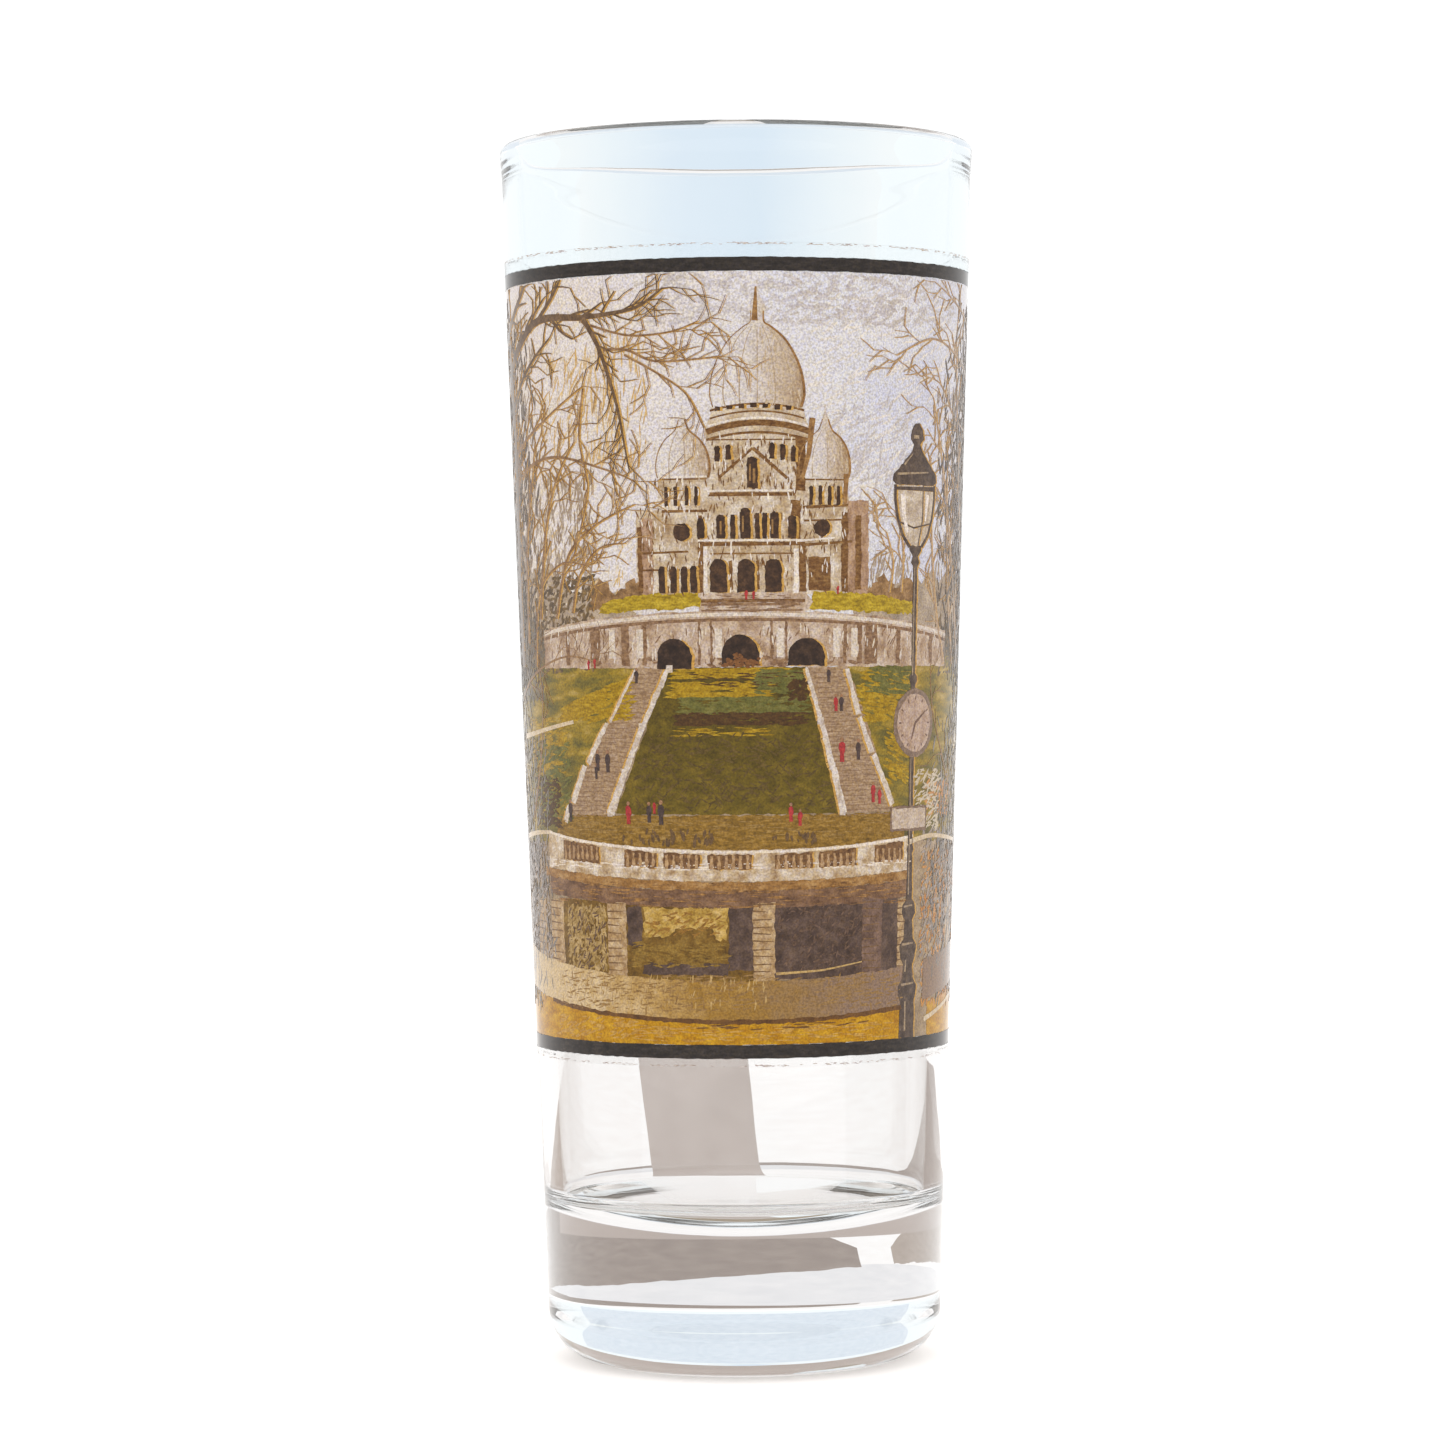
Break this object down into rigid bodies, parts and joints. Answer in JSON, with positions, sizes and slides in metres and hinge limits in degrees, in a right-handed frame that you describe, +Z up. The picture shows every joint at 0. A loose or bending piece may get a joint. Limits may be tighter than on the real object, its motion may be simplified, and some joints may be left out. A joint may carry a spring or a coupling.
{
  "type": "shot glass",
  "caption": "Tall tapered clear shot glass with a thick rounded foot and a wrap-round fired-on picture of a park and a domed hall between dark border lines.",
  "frame": {"origin": "centre of the foot, on the plane that the glass stands on", "axes": "+Z up along the axis of the glass, -Y towards the middle of the picture, +X to the right of the picture"},
  "size_m": [0.041, 0.041, 0.105],
  "materials": {
    "clear_glass": "polished",
    "white_enamel": "satin",
    "picture_enamel": "gloss",
    "border_enamel": "gloss",
    "clear_flux": "gloss"
  },
  "bodies": {
    "root": {"glass_tumbler": "clear_glass", "white_underprint": "white_enamel", "picture_print": "picture_enamel", "upper_border_line": "border_enamel", "lower_border_line": "border_enamel", "clear_overprint": "clear_flux"}
  },
  "joints": []
}
